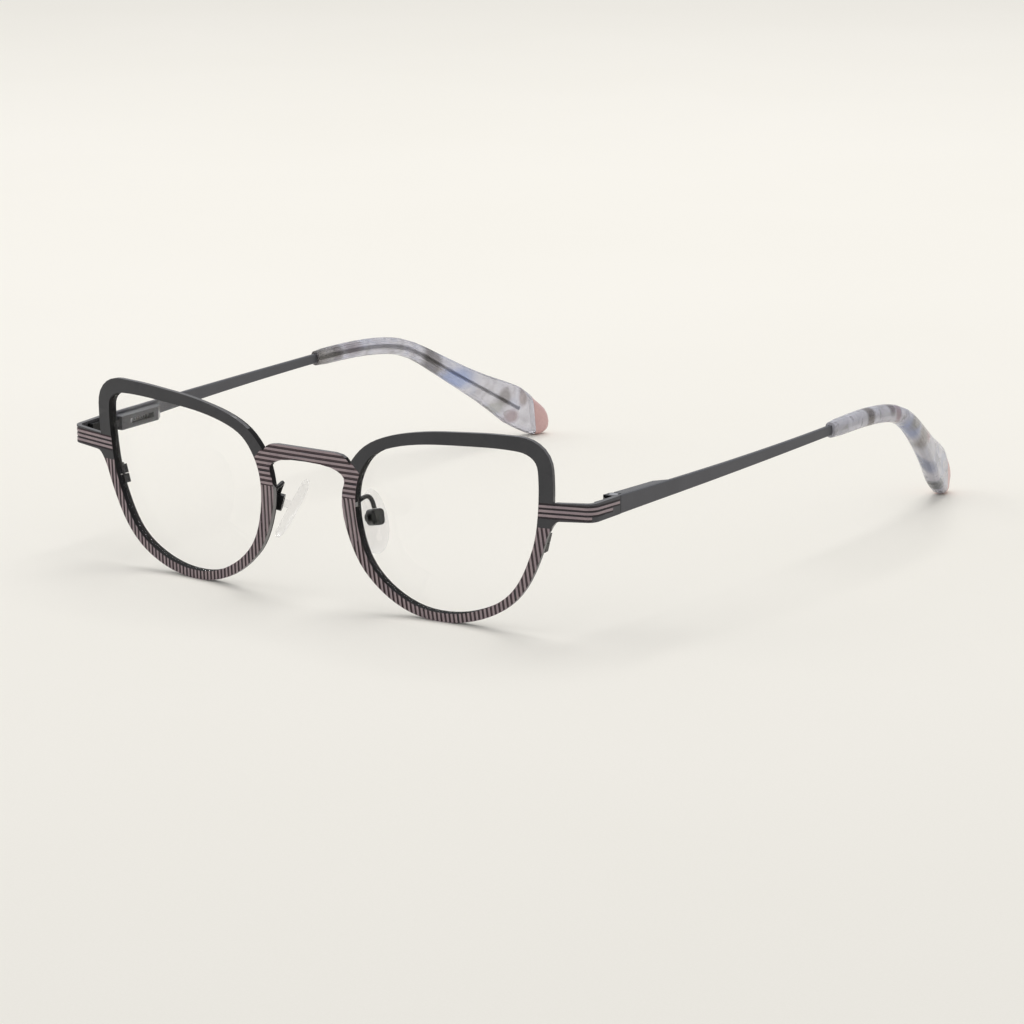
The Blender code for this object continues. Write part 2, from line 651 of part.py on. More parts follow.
def rim_lock(side, sign, root, materials, eye):
    """Two blocks on the eyewire's ends, and the screw that pulls them together."""
    station = LOCK_ROW_SHARE * EYE_STEPS
    low = eye.at(station, 0.0, LOCK_INSET_SHARE)
    one, two = Vector(eye.at(station - 1)), Vector(eye.at(station + 1))
    along = (two - one).normalized()
    out = Vector((along.y, -along.x))
    back = RIM_DEPTH + FIT
    corner = sheet_point(sign * low[0], low[1], back)
    beside = sheet_point(sign * (low[0] + out.x * LOCK_WIDTH), low[1] + out.y * LOCK_WIDTH, back)
    axis_u = (beside - corner).normalized()
    axis_w = (sheet_point(sign * (low[0] + along.x * LOCK_WIDTH), low[1] + along.y * LOCK_WIDTH, back)
              - corner).normalized()
    axis_w = (axis_w - axis_u * axis_w.dot(axis_u)).normalized()
    axis_v = axis_w.cross(axis_u) * sign
    if axis_v.y < 0:
        axis_v.negate()
    frame = Matrix.Translation(corner) @ Matrix((axis_u, axis_v, axis_w)).transposed().to_4x4()

    def place(u, v, w):
        return frame @ Vector((u, v, w))

    block = [(0.0, 0.0), (LOCK_WIDTH, 0.0), (LOCK_WIDTH, LOCK_DEPTH), (0.0, LOCK_DEPTH)]
    middle = Vector((LOCK_WIDTH / 2, LOCK_DEPTH - LOCK_WIDTH / 2))
    bore = [tuple(middle + Vector(p)) for p in circle(LOCK_SCREW_RADIUS + RUNNING, ROUND_SIDES)]
    for name, start, end in (("upper", LOCK_SLIT / 2, LOCK_LENGTH), ("lower", -LOCK_LENGTH, -LOCK_SLIT / 2)):
        bm = bmesh.new()
        prism(bm, block, [bore], place, start, end)
        piece(f"{side}_rim_lock_{name}", bm, materials["wire"], root)
    profile = [(LOCK_SCREW_RADIUS, -LOCK_LENGTH), (LOCK_SCREW_RADIUS, LOCK_LENGTH + FIT),
               (LOCK_HEAD_RADIUS, LOCK_LENGTH + FIT), (LOCK_HEAD_RADIUS, LOCK_LENGTH + FIT + LOCK_HEAD)]
    bm = bmesh.new()
    turned(bm, profile, ROUND_SIDES, lambda x, y, w: place(middle.x + x, middle.y + y, w))
    piece(f"{side}_rim_lock_screw", bm, materials["steel"], root, smooth=ROUND_EDGE)


def pad_frame(sign):
    """Frame on a pad's screw: X across the pad, Y to the nose, Z up along the pad."""
    height = LENS_BOTTOM + LENS_HEIGHT * PAD_HEIGHT_SHARE
    spread = LENS_LEFT * PAD_SPREAD_SHARE
    turn = Matrix.Rotation(-sign * PAD_SPLAY, 4, "Z")
    lean = Matrix.Rotation(-sign * PAD_FRONTAL, 4, "Y")
    to_nose = Matrix.Rotation(sign * math.pi / 2, 4, "Z")
    return Matrix.Translation(Vector((sign * spread, PAD_BACK, height))) @ turn @ lean @ to_nose


def nose_pad(side, sign, root, materials, eye):
    """Soft pad, its box, screw and arm."""
    frame = pad_frame(sign)
    pivot = empty(f"{side}_pad_axis", root, frame)
    floor = -EAR_DEPTH - PAD_GAP - BOX_WALL
    mouth = floor + BOX_DEPTH
    face = mouth + PAD_STANDOFF
    lean = Matrix.Rotation(-PAD_ROCK, 4, "X") @ Matrix.Rotation(sign * PAD_TURN, 4, "Y")

    bm = bmesh.new()
    rings = []
    for share, level in PAD_RING_SHARES:
        ring = []
        for i in range(PAD_STEPS):
            angle = 2 * math.pi * i / PAD_STEPS
            across = math.cos(angle) * PAD_WIDTH / 2
            along = math.sin(angle) * PAD_LENGTH / 2
            across *= 1 - PAD_TAPER_SHARE * math.sin(angle)
            point = Vector((across * share + sign * PAD_OFFSET, face + PAD_THICKNESS * level, along * share))
            ring.append(lean @ point)
        rings.append(ring)
    skin(bm, rings)
    pad = piece(f"{side}_nose_pad", bm, materials["pad"], pivot, smooth=WIRE_EDGE)
    bm = bmesh.new()
    prism(bm, rectangle(EAR_WIDTH, EAR_LENGTH), [], lambda u, v, w: Vector((u, w, v)),
          -EAR_DEPTH, face + PAD_THICKNESS / 2)
    combine(pad, f"{side}_pad_ear", bm, "UNION")
    bm = bmesh.new()
    bore = [(PAD_SCREW_RADIUS + RUNNING, -EAR_WIDTH), (PAD_SCREW_RADIUS + RUNNING, EAR_WIDTH)]
    turned(bm, bore, ROUND_SIDES, lambda x, y, w: Vector((w, x, y)))
    combine(pad, f"{side}_pad_ear_bore", bm, "DIFFERENCE")

    bm = bmesh.new()
    prism(bm, rounded_rectangle(BOX_WIDTH, BOX_LENGTH, BOX_CORNER, BOX_CORNER_STEPS), [],
          lambda u, v, w: Vector((u, w, v)), floor, mouth)
    box = piece(f"{side}_pad_box", bm, materials["black"], pivot)
    bm = bmesh.new()
    prism(bm, rectangle(BOX_SLOT, BOX_LENGTH - 2 * BOX_WALL), [], lambda u, v, w: Vector((u, w, v)),
          floor + BOX_WALL, mouth + OVERRUN)
    combine(box, f"{side}_box_slot", bm, "DIFFERENCE")
    bm = bmesh.new()
    bore = [(PAD_SCREW_RADIUS + RUNNING, -BOX_WIDTH), (PAD_SCREW_RADIUS + RUNNING, BOX_WIDTH)]
    turned(bm, bore, ROUND_SIDES, lambda x, y, w: Vector((w, x, y)))
    combine(box, f"{side}_box_bore", bm, "DIFFERENCE")

    outer = -sign * (BOX_WIDTH / 2 + FIT)
    bm = bmesh.new()
    profile = [(PAD_SCREW_RADIUS, -outer), (PAD_SCREW_RADIUS, outer), (PAD_SCREW_HEAD_RADIUS, outer),
               (PAD_SCREW_HEAD_RADIUS, outer - sign * PAD_SCREW_HEAD)]
    turned(bm, profile, ROUND_SIDES, lambda x, y, w: Vector((w, x, y)))
    piece(f"{side}_pad_screw", bm, materials["black"], pivot, smooth=ROUND_EDGE)

    station = PAD_ARM_ROW_SHARE * EYE_STEPS
    start = sheet_point(sign * eye.at(station, 0.0, EYEWIRE_SHARE / 2)[0],
                        eye.at(station)[1], RIM_DEPTH + FIT)
    top = frame @ Vector((0.0, floor + BOX_DEPTH / 2, BOX_LENGTH / 2 + FIT))
    up = frame.to_3x3() @ Vector((0.0, 0.0, 1.0))
    bow = Vector((-sign * ARM_BOW, 0.0, 0.0))
    first = start + Vector((0.0, ARM_RUN, 0.0)) + bow
    handle = top + up * ARM_RISE + bow
    path = []
    for i in range(ARM_STEPS + 1):
        t = i / ARM_STEPS
        path.append(start * (1 - t) ** 3 + first * 3 * t * (1 - t) ** 2
                    + handle * 3 * t * t * (1 - t) + top * t ** 3)
    bm = bmesh.new()
    tube(bm, path, ARM_RADIUS, WIRE_SIDES, Vector((0.0, 1.0, 0.0)), -up)
    piece(f"{side}_pad_arm", bm, materials["black"], root, smooth=WIRE_EDGE)


def tube(bm, path, radius, sides, first, last):
    """Round wire along a path, its ends square to the given directions."""
    rings = []
    across = first.orthogonal().normalized()
    for i, point in enumerate(path):
        if i == 0:
            along = first.normalized()
        elif i == len(path) - 1:
            along = last.normalized()
        else:
            along = (path[i + 1] - path[i - 1]).normalized()
        across = (across - along * across.dot(along)).normalized()
        other = along.cross(across)
        rings.append([point + across * x + other * y for x, y in circle(radius, sides)])
    skin(bm, rings)


# Hinge and temple coordinates

def hinge_frame(sign):
    """Frame on a hinge screw: X outwards times sign, Y back along the temple, Z up."""
    seam = sheet_point(LUG_END, PIN_Z, 0.0)
    along = Vector((math.sin(SPLAY), math.cos(SPLAY), 0.0))
    out = Vector((math.cos(SPLAY), -math.sin(SPLAY), 0.0))
    pin = seam + along * PIN_BACK - out * SHEET_OUTER
    pin.x *= sign
    return Matrix.Translation(pin) @ Matrix.Rotation(-sign * SPLAY, 4, "Z")


def at_hinge(sign):
    """Turns (outwards, back, up) beside a hinge screw into a point of its frame."""
    def place(out, back, up):
        return Vector((sign * out, back, up))
    return place


def hinge_leaf(side, sign, axis, materials):
    """Forked block inside the lug."""
    place = at_hinge(sign)
    seat = BAR_INNER - FIT
    front = -PIN_BACK - LEAF_REACH
    turns = [math.pi * i / ROUND_SIDES for i in range(ROUND_SIDES + 1)]
    knuckle = [(KNUCKLE_RADIUS * math.cos(turn), KNUCKLE_RADIUS * math.sin(turn)) for turn in turns]
    outer = [(seat, front), (seat, -PIN_BACK - KNUCKLE_GAP)] + knuckle
    outer += [(-KNUCKLE_RADIUS, -EAR_REACH), (seat - LEAF_BASE, -EAR_REACH - LEAF_TAPER),
              (seat - LEAF_BASE, front)]
    bore = circle(PIN_RADIUS + RUNNING, ROUND_SIDES)
    bm = bmesh.new()
    prism(bm, outer, [bore], place, -LEAF_HEIGHT / 2, LEAF_HEIGHT / 2)
    leaf = piece(f"{side}_hinge_leaf", bm, materials["wire"], axis)
    bm = bmesh.new()
    reach = KNUCKLE_RADIUS + KNUCKLE_GAP
    slot = [(-seat - OVERRUN, -reach), (seat + OVERRUN, -reach), (seat + OVERRUN, reach + OVERRUN),
            (-seat - OVERRUN, reach + OVERRUN)]
    prism(bm, slot, [], place, -SLOT_HEIGHT / 2, SLOT_HEIGHT / 2)
    combine(leaf, f"{side}_leaf_slot", bm, "DIFFERENCE")
    bm = bmesh.new()
    step = [(-seat - OVERRUN, front - OVERRUN), (seat + OVERRUN, front - OVERRUN), (seat + OVERRUN, -EAR_REACH),
            (-seat - OVERRUN, -EAR_REACH)]
    for low, high in ((LEAF_BASE_HEIGHT / 2, LEAF_HEIGHT), (-LEAF_HEIGHT, -LEAF_BASE_HEIGHT / 2)):
        prism(bm, step, [], place, low, high)
    combine(leaf, f"{side}_leaf_step", bm, "DIFFERENCE")
    bm = bmesh.new()
    sink = [(PIN_HEAD_RADIUS + RUNNING, LEAF_HEIGHT / 2 - PIN_HEAD - FIT),
            (PIN_HEAD_RADIUS + RUNNING, LEAF_HEIGHT / 2 + OVERRUN)]
    turned(bm, sink, ROUND_SIDES, place)
    combine(leaf, f"{side}_leaf_sink", bm, "DIFFERENCE")


def hinge_screw(side, sign, axis, materials):
    """Screw through both ears and the tongue's eye."""
    top = LEAF_HEIGHT / 2
    profile = [(PIN_RADIUS, -top), (PIN_RADIUS, top - PIN_HEAD), (PIN_HEAD_RADIUS, top - PIN_HEAD),
               (PIN_HEAD_RADIUS, top)]
    bm = bmesh.new()
    turned(bm, profile, ROUND_SIDES, at_hinge(sign))
    piece(f"{side}_hinge_screw", bm, materials["steel"], axis, smooth=ROUND_EDGE)


def spring_tongue(side, sign, axis, materials):
    """Eye, neck, rod and rod head in one piece."""
    place = at_hinge(sign)
    half = TONGUE_WIDTH / 2
    start = math.pi / 2 - math.asin(half / KNUCKLE_RADIUS)
    sweep = 2 * (math.pi - math.asin(half / KNUCKLE_RADIUS))
    steps = ROUND_SIDES + ROUND_SIDES // 2
    turns = [start - sweep * i / steps for i in range(steps + 1)]
    eye = [(KNUCKLE_RADIUS * math.cos(turn), KNUCKLE_RADIUS * math.sin(turn)) for turn in turns]
    outer = [(-half, TONGUE_NECK), (half, TONGUE_NECK)] + eye
    bm = bmesh.new()
    prism(bm, outer, [circle(PIN_RADIUS + RUNNING, ROUND_SIDES)], place, -TONGUE_HEIGHT / 2, TONGUE_HEIGHT / 2)
    tongue = piece(f"{side}_spring_tongue", bm, materials["steel"], axis)
    end = TONGUE_NECK + ROD_LENGTH
    profile = [(ROD_RADIUS, TONGUE_NECK - ROD_HEAD), (ROD_RADIUS, end), (ROD_HEAD_RADIUS, end),
               (ROD_HEAD_RADIUS, end + ROD_HEAD)]
    bm = bmesh.new()
    turned(bm, profile, ROUND_SIDES, lambda x, y, w: place(x, w, y))
    combine(tongue, f"{side}_tongue_rod", bm, "UNION")


def spring_case(side, sign, axis, materials):
    """Casing on the bar's inner face, with its cavity, window, stop and spring."""
    place = at_hinge(sign)
    seat = BAR_INNER - FIT
    inner = -CAVITY / 2 - (seat - CAVITY / 2)
    end = CASE_START + CASE_LENGTH
    outer = [(seat, CASE_START), (seat, end), (seat - (seat - inner) * (1 - CASE_TAPER_SHARE), end),
             (inner, end - CASE_TAPER), (inner, CASE_START)]
    bm = bmesh.new()
    prism(bm, outer, [], place, -CASE_HEIGHT / 2, CASE_HEIGHT / 2)
    case = piece(f"{side}_spring_case", bm, materials["steel"], axis)
    back = CASE_START + CAVITY_LENGTH
    half = CAVITY / 2
    bm = bmesh.new()
    prism(bm, [(half, CASE_START - OVERRUN), (half, back), (-half, back), (-half, CASE_START - OVERRUN)], [],
          place, -half, half)
    combine(case, f"{side}_case_cavity", bm, "DIFFERENCE")
    first = back - WINDOW_LENGTH
    bm = bmesh.new()
    prism(bm, [(0.0, first), (0.0, back - FIT), (inner - OVERRUN, back - FIT), (inner - OVERRUN, first)], [],
          place, -WINDOW_HEIGHT / 2, WINDOW_HEIGHT / 2)
    combine(case, f"{side}_case_window", bm, "DIFFERENCE")

    near = TONGUE_NECK + STOP_GAP
    bore = circle(ROD_RADIUS + RUNNING, ROUND_SIDES)
    bm = bmesh.new()
    prism(bm, rectangle(CAVITY - 2 * FIT, CAVITY - 2 * FIT), [bore], lambda u, v, w: place(u, w, v),
          near, near + STOP_THICKNESS)
    piece(f"{side}_spring_stop", bm, materials["steel"], axis)

    low = near + STOP_THICKNESS + FIT + SPRING_WIRE_RADIUS
    high = TONGUE_NECK + ROD_LENGTH - FIT - SPRING_WIRE_RADIUS
    coil = (ROD_RADIUS + RUNNING + SPRING_WIRE_RADIUS + FIT)
    path = []
    for i in range(SPRING_TURNS * SPRING_TURN_STEPS + 1):
        angle = 2 * math.pi * i / SPRING_TURN_STEPS
        level = low + (high - low) * i / (SPRING_TURNS * SPRING_TURN_STEPS)
        path.append(place(coil * math.cos(angle), level, coil * math.sin(angle)))
    bm = bmesh.new()
    tube(bm, path, SPRING_WIRE_RADIUS, SPRING_SIDES, path[1] - path[0], path[-1] - path[-2])
    piece(f"{side}_hinge_spring", bm, materials["steel"], axis, smooth=SPRING_EDGE)


def tip_rows(share):
    """Drop, hook, height, rise and thickness shares along the tip."""
    table = np.array(TIP_SHARES)
    return [float(np.interp(share, table[:, 0], table[:, k])) for k in (1, 2, 3, 4, 5)]


def temple_direction(s):
    """Outward yaw and upward pitch of the temple's centre line, s from the seam."""
    if s <= BAR_STRAIGHT:
        return 0.0, BAR_CLIMB
    if s <= BAR_LENGTH:
        share = (s - BAR_STRAIGHT) / (BAR_LENGTH - BAR_STRAIGHT)
        return (BAR_END_YAW - SPLAY) * share, BAR_CLIMB
    drop, hook, _, _, _ = tip_rows(min((s - BAR_LENGTH) / TIP_LENGTH, 1.0))
    return -SPLAY - TIP_HOOK * hook, -TIP_DROP * drop


def temple_line():
    """Centre line in hinge coordinates: rows of s and the point (outwards, back, up)."""
    total = BAR_LENGTH + TIP_LENGTH
    point = np.array([BAR_CENTRE, SEAM_GAP - PIN_BACK, 0.0])
    rows = [(0.0, point)]
    for i in range(PATH_STEPS):
        s0, s1 = total * i / PATH_STEPS, total * (i + 1) / PATH_STEPS
        yaw, pitch = temple_direction((s0 + s1) / 2)
        step = np.array([math.sin(yaw) * math.cos(pitch), math.cos(yaw) * math.cos(pitch), math.sin(pitch)])
        point = point + step * (s1 - s0)
        rows.append((s1, point))
    return rows


def temple_section(line, s, outline):
    """A section of (outwards, up) points, square to the centre line at s, in hinge coordinates."""
    levels = [row[0] for row in line]
    points = np.array([row[1] for row in line])
    centre = [float(np.interp(s, levels, points[:, k])) for k in range(3)]
    yaw, pitch = temple_direction(min(max(s, 0.0), BAR_LENGTH + TIP_LENGTH))
    if s <= BAR_LENGTH + FIT:
        pitch = 0.0
    out = Vector((math.cos(yaw), -math.sin(yaw), 0.0))
    up = Vector((-math.sin(yaw) * math.sin(pitch), -math.cos(yaw) * math.sin(pitch), math.cos(pitch)))
    return [Vector(centre) + out * u + up * v for u, v in outline]


def bar_outline(s):
    """Bar or core section at s."""
    if s <= BAR_LENGTH:
        share = s / BAR_LENGTH
        height = BAR_END_HEIGHT + (BAR_FRONT_HEIGHT - BAR_END_HEIGHT) * (1 - share) ** BAR_TAPER_POWER
        thickness = BAR_THICKNESS
    else:
        share = (s - BAR_LENGTH) / (TIP_LENGTH * CORE_LENGTH_SHARE)
        height = CORE_HEIGHT * (1 + (CORE_END_SHARE - 1) * share)
        thickness = CORE_THICKNESS * (1 + (CORE_END_SHARE - 1) * share)
    return rounded_rectangle(thickness, height, BAR_CHAMFER, 1)


def signed(points, sign):
    """Hinge coordinates of one side's points."""
    return [Vector((sign * p.x, p.y, p.z)) for p in points]


def spread(start, end, step):
    """Stations from start to end, about a step apart."""
    count = max(1, round((end - start) / step))
    return [start + (end - start) * i / count for i in range(count + 1)]


def temple_bar(side, sign, axis, materials, line):
    """Flat bar with the core wire that the tip is pushed on."""
    stations = spread(0.0, BAR_LENGTH, BAR_LENGTH / BAR_STEPS)
    rings = [temple_section(line, s, bar_outline(s)) for s in stations]
    core_end = BAR_LENGTH + TIP_LENGTH * CORE_LENGTH_SHARE
    for s in spread(BAR_LENGTH + NEAR, core_end, TIP_STEP):
        rings.append(temple_section(line, s, bar_outline(s)))
    bm = bmesh.new()
    skin(bm, [signed(ring, sign) for ring in rings])
    piece(f"{side}_temple_bar", bm, materials["temple"], axis, smooth=FLAT_EDGE)


def tip_outline(s):
    """Outer section of the tip at s."""
    _, _, height, rise, thickness = tip_rows((s - BAR_LENGTH) / TIP_LENGTH)
    height *= TIP_WIDE
    thickness *= TIP_THICKNESS
    corner = min(thickness, height) * TIP_CORNER_SHARE
    outline = rounded_rectangle(thickness, height, corner, TIP_CORNER_STEPS)
    return [(u, v + rise * TIP_WIDE) for u, v in outline]


def grown(outline, amount):
    """A section made larger all round by scaling it to a new half width and height."""
    wide = max(u for u, _ in outline)
    high = max(v for _, v in outline)
    return [(u * (wide + amount) / wide, v * (high + amount) / high) for u, v in outline]


def tip_stations(start, end):
    """Stations along the tip, closer where the table's rows are closer."""
    marks = [BAR_LENGTH + TIP_LENGTH * row[0] for row in TIP_SHARES]
    marks = [start] + [mark for mark in marks if start + NEAR < mark < end - NEAR] + [end]
    stations = [start]
    for one, two in zip(marks, marks[1:]):
        stations += spread(one, two, TIP_STEP)[1:]
    return stations


def trim(bm, point, normal):
    """Takes off what lies beyond a plane and closes the cut."""
    geometry = list(bm.verts) + list(bm.edges) + list(bm.faces)
    result = bmesh.ops.bisect_plane(bm, geom=geometry, dist=NEAR, plane_co=point, plane_no=normal,
                                    clear_outer=True)
    border = [g for g in result["geom_cut"] if isinstance(g, bmesh.types.BMEdge)]
    bmesh.ops.contextual_create(bm, geom=border)


def temple_tip(side, sign, axis, materials, line):
    """Acetate tip with its bore, and the pink end laminated to it at a slant."""
    start = BAR_LENGTH + FIT
    total = BAR_LENGTH + TIP_LENGTH
    yaw, pitch = temple_direction(total - TIP_END_LENGTH)
    pitch += TIP_SEAM_LEAN
    ahead = Vector((sign * math.sin(yaw) * math.cos(pitch), math.cos(yaw) * math.cos(pitch), math.sin(pitch)))
    seam = centred(signed(temple_section(line, total - TIP_END_LENGTH, rectangle(TIP_THICKNESS, TIP_WIDE)), sign))

    outer = [temple_section(line, s, tip_outline(s)) for s in tip_stations(start, total)]
    bore_end = BAR_LENGTH + TIP_LENGTH * CORE_LENGTH_SHARE + FIT
    bore = [temple_section(line, s, grown(bar_outline(s), FIT)) for s in spread(start, bore_end, TIP_STEP)]
    bm = bmesh.new()
    skins = skin(bm, [signed(ring, sign) for ring in outer], capped=False)
    bm.faces.new(skins[-1])
    trim(bm, seam, ahead)
    holes = skin(bm, [signed(ring, sign) for ring in bore], capped=False)
    bm.faces.new(list(reversed(holes[-1])))
    rim = [bm.edges.get((a, b)) for ring in (skins[0], holes[0]) for a, b in zip(ring, ring[1:] + ring[:1])]
    bmesh.ops.triangle_fill(bm, use_beauty=True, use_dissolve=False, edges=rim)
    piece(f"{side}_temple_tip", bm, materials["acetate"], axis, smooth=TIP_EDGE)

    end = [temple_section(line, s, tip_outline(s)) for s in tip_stations(bore_end, total)]
    bm = bmesh.new()
    skin(bm, [signed(ring, sign) for ring in end])
    trim(bm, seam + ahead * FIT, -ahead)
    piece(f"{side}_tip_end", bm, materials["pink"], axis, smooth=TIP_EDGE)


def stand(root):
    """Moves the glasses so that the origin is at the bottom centre of their box."""
    bpy.context.view_layer.update()
    corners = []
    for made in bpy.data.objects:
        if made.type == "MESH" and not made.hide_render:
            corners += [made.matrix_world @ vert.co for vert in made.data.vertices]
    low = [min(c[k] for c in corners) for k in range(3)]
    high = [max(c[k] for c in corners) for k in range(3)]
    root.location = (-(low[0] + high[0]) / 2, -(low[1] + high[1]) / 2, -low[2])
    bpy.context.view_layer.update()


def build():
    """Builds the glasses."""
    rest()
    materials = make_materials()
    root = empty("glasses", None, Matrix())
    eye = Eye()
    line = temple_line()
    front_plate(root, materials, eye)
    for side, sign in (("left", 1), ("right", -1)):
        eyewire(side, sign, root, materials, eye)
        lens(side, sign, root, materials, eye)
        rim_lock(side, sign, root, materials, eye)
        nose_pad(side, sign, root, materials, eye)
        axis = empty(f"{side}_hinge_axis", root, hinge_frame(sign))
        hinge_leaf(side, sign, axis, materials)
        hinge_screw(side, sign, axis, materials)
        spring_tongue(side, sign, axis, materials)
        spring_case(side, sign, axis, materials)
        temple_bar(side, sign, axis, materials, line)
        temple_tip(side, sign, axis, materials, line)
    stand(root)


build()
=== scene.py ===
"""Looks of a pair of cat eye glasses: painted and engraved metal front, charcoal temples, marbled tips.

Lengths are in metres. The front faces -Y, the temples run to +Y, and "left" is the wearer's left, at +X.
"""
import math

import bmesh
import bpy
from mathutils import Matrix, Vector


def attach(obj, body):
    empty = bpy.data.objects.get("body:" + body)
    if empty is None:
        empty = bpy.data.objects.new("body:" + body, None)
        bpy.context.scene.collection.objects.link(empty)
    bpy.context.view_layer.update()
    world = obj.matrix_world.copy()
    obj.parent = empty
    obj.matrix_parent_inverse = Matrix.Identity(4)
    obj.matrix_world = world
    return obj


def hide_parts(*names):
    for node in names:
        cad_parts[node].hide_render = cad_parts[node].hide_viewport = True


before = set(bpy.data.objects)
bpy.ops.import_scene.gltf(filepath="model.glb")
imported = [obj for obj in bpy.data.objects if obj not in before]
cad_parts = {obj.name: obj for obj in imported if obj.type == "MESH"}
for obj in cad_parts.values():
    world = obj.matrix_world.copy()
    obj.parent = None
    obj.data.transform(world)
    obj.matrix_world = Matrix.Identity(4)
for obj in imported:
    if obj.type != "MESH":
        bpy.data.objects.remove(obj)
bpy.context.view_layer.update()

MM = 0.001
SIDES = (("left", 1), ("right", -1))

# Camera and studio
AIM = Vector((0.0, -31.473 * MM, 17.345 * MM))
AZIMUTH = math.radians(35.034)
ELEVATION = math.radians(13.070)
DISTANCE = 865.2 * MM
PAN_RIGHT = 12.94 * MM
PAN_DOWN = 8.13 * MM
LENS_MM = 157.6
SENSOR_MM = 36.0

# Lines engraved in the front
LINE_DEPTH = 0.13 * MM
LINE_SLOPE = 0.07 * MM
LINE_END = 0.05 * MM
MERGE = 0.001 * MM
BRIDGE_PITCH = 0.965 * MM
BRIDGE_FIRST = 21.07 * MM
BRIDGE_GROOVE = 0.50 * MM
BRIDGE_TOP = 30.0 * MM
HATCH_PITCH = 0.90 * MM
HATCH_GROOVE = 0.46 * MM
HATCH_FIRST = 8.54 * MM
HATCH_LAST = 53.5 * MM
HATCH_LEAN = 0.11
HATCH_TOP_NASAL = 21.07 * MM
HATCH_TOP_TEMPORAL = 20.35 * MM
NASAL_LIMIT = 30.0 * MM
BROW_LINE = (Vector((10.1, 0.0, 28.4)) * MM, Vector((12.1, 0.0, 26.3)) * MM)
LUG_LINES = (22.65 * MM, 23.51 * MM, 24.37 * MM)
LUG_LINE_WIDTH = 0.44 * MM
LUG_GROOVE = 0.40 * MM
LUG_LINE_START = 49.6 * MM
LUG_LINE_RISE = 0.033
LUG_ENDS = (-69.7 * MM, -64.2 * MM, -62.1 * MM)
LUG_CUTS_X = 55.5 * MM
LUG_TURN_X = 53.8 * MM
LUG_LINE_LEAD = 2 * MM
LUG_HALF_STEP = (LUG_LINE_WIDTH + LUG_GROOVE) / 2
LUG_HALF_WIDTH = LUG_LINE_WIDTH / 2 + LUG_GROOVE
LUG_GROOVES = [(z - LUG_HALF_STEP, end) for z, end in zip(LUG_LINES, LUG_ENDS)]
LUG_GROOVES.append((LUG_LINES[-1] + LUG_HALF_STEP, LUG_ENDS[-1]))

# Edges and walls of the front
EDGE_ROUND = 0.07 * MM
EDGE_STEPS = 2
EDGE_SHARP = math.radians(50)
FRONT_FACING = 0.8
LUG_FACING = 0.3
LUG_TILT = 0.5
WALL_FACING = 0.5
TOP_FACING = 0.8
NOSE_EDGE_X = 12 * MM
NOSE_EDGE_Z = 21.1 * MM
BROW_EDGE_X = 20 * MM
OPENING_X = (11 * MM, 50.2 * MM)
OPENING_Z = (1.6 * MM, 34.4 * MM)
EYE_CENTRE_X = 30.5 * MM
EYE_CENTRE_Z = 18 * MM

# Patches in the acetate
PATCH_CORE = 0.5
PATCH_STRENGTH = 0.85

# Floor and lamps
FLOOR_HALF = 4.0
TOP_LAMP = {"place": (-0.18, 0.43, 1.06), "aim": (-0.17, 0.13, 0), "size": 0.8, "power": 4.9}
LEFT_LAMP = {"place": (-0.9, -0.5, 0.6), "aim": (0, 0, 0), "size": 0.7, "power": 1.3}
STUDIO_LIGHT = 0.725


# Materials

def linear(code):
    """An sRGB hex colour as linear RGBA."""
    parts = [int(code[i:i + 2], 16) / 255 for i in (1, 3, 5)]
    return [c / 12.92 if c <= 0.04045 else ((c + 0.055) / 1.055) ** 2.4 for c in parts] + [1.0]


def add(tree, kind, inputs=None, **settings):
    """One node with its settings; each input is a value or the socket that feeds it."""
    made = tree.nodes.new(kind)
    for name, value in settings.items():
        setattr(made, name, value)
    for name, value in (inputs or {}).items():
        if isinstance(value, bpy.types.NodeSocket):
            tree.links.new(value, made.inputs[name])
        else:
            made.inputs[name].default_value = value
    return made


def ramp(tree, factor, stops):
    """Colours at places from 0 to 1, blended between."""
    made = add(tree, "ShaderNodeValToRGB", {"Fac": factor})
    elements = made.color_ramp.elements
    while len(elements) < len(stops):
        elements.new(0.5)
    for element, (place, code) in zip(elements, stops):
        element.position = place
        element.color = linear(code)
    return made.outputs["Color"]


def mix(tree, factor, low, high):
    """Two colours mixed by a factor."""
    return add(tree, "ShaderNodeMix", {0: factor, 6: low, 7: high}, data_type="RGBA").outputs[2]


def noise(tree, place, size, detail=3.0, distortion=0.0):
    """Soft noise whose features are about that size."""
    inputs = {"Vector": place, "Scale": 1 / size, "Detail": detail, "Distortion": distortion}
    return add(tree, "ShaderNodeTexNoise", inputs).outputs["Fac"]


def spread(tree, factor, low, high):
    """A factor from 0 to 1 turned to a range of values."""
    inputs = {"Value": factor, "To Min": low, "To Max": high}
    return add(tree, "ShaderNodeMapRange", inputs, clamp=False).outputs["Result"]


def blank(name, **values):
    """An empty material with its shader's own values set."""
    material = bpy.data.materials.new(name)
    material.use_nodes = True
    tree = material.node_tree
    shader = tree.nodes["Principled BSDF"]
    for key, value in values.items():
        shader.inputs[key.replace("_", " ")].default_value = value
    return material, tree, shader, add(tree, "ShaderNodeTexCoord").outputs["Object"]


def bump(tree, shader, height, distance):
    """Small relief of that depth."""
    made = add(tree, "ShaderNodeBump", {"Height": height, "Distance": distance, "Strength": 1.0})
    tree.links.new(made.outputs["Normal"], shader.inputs["Normal"])


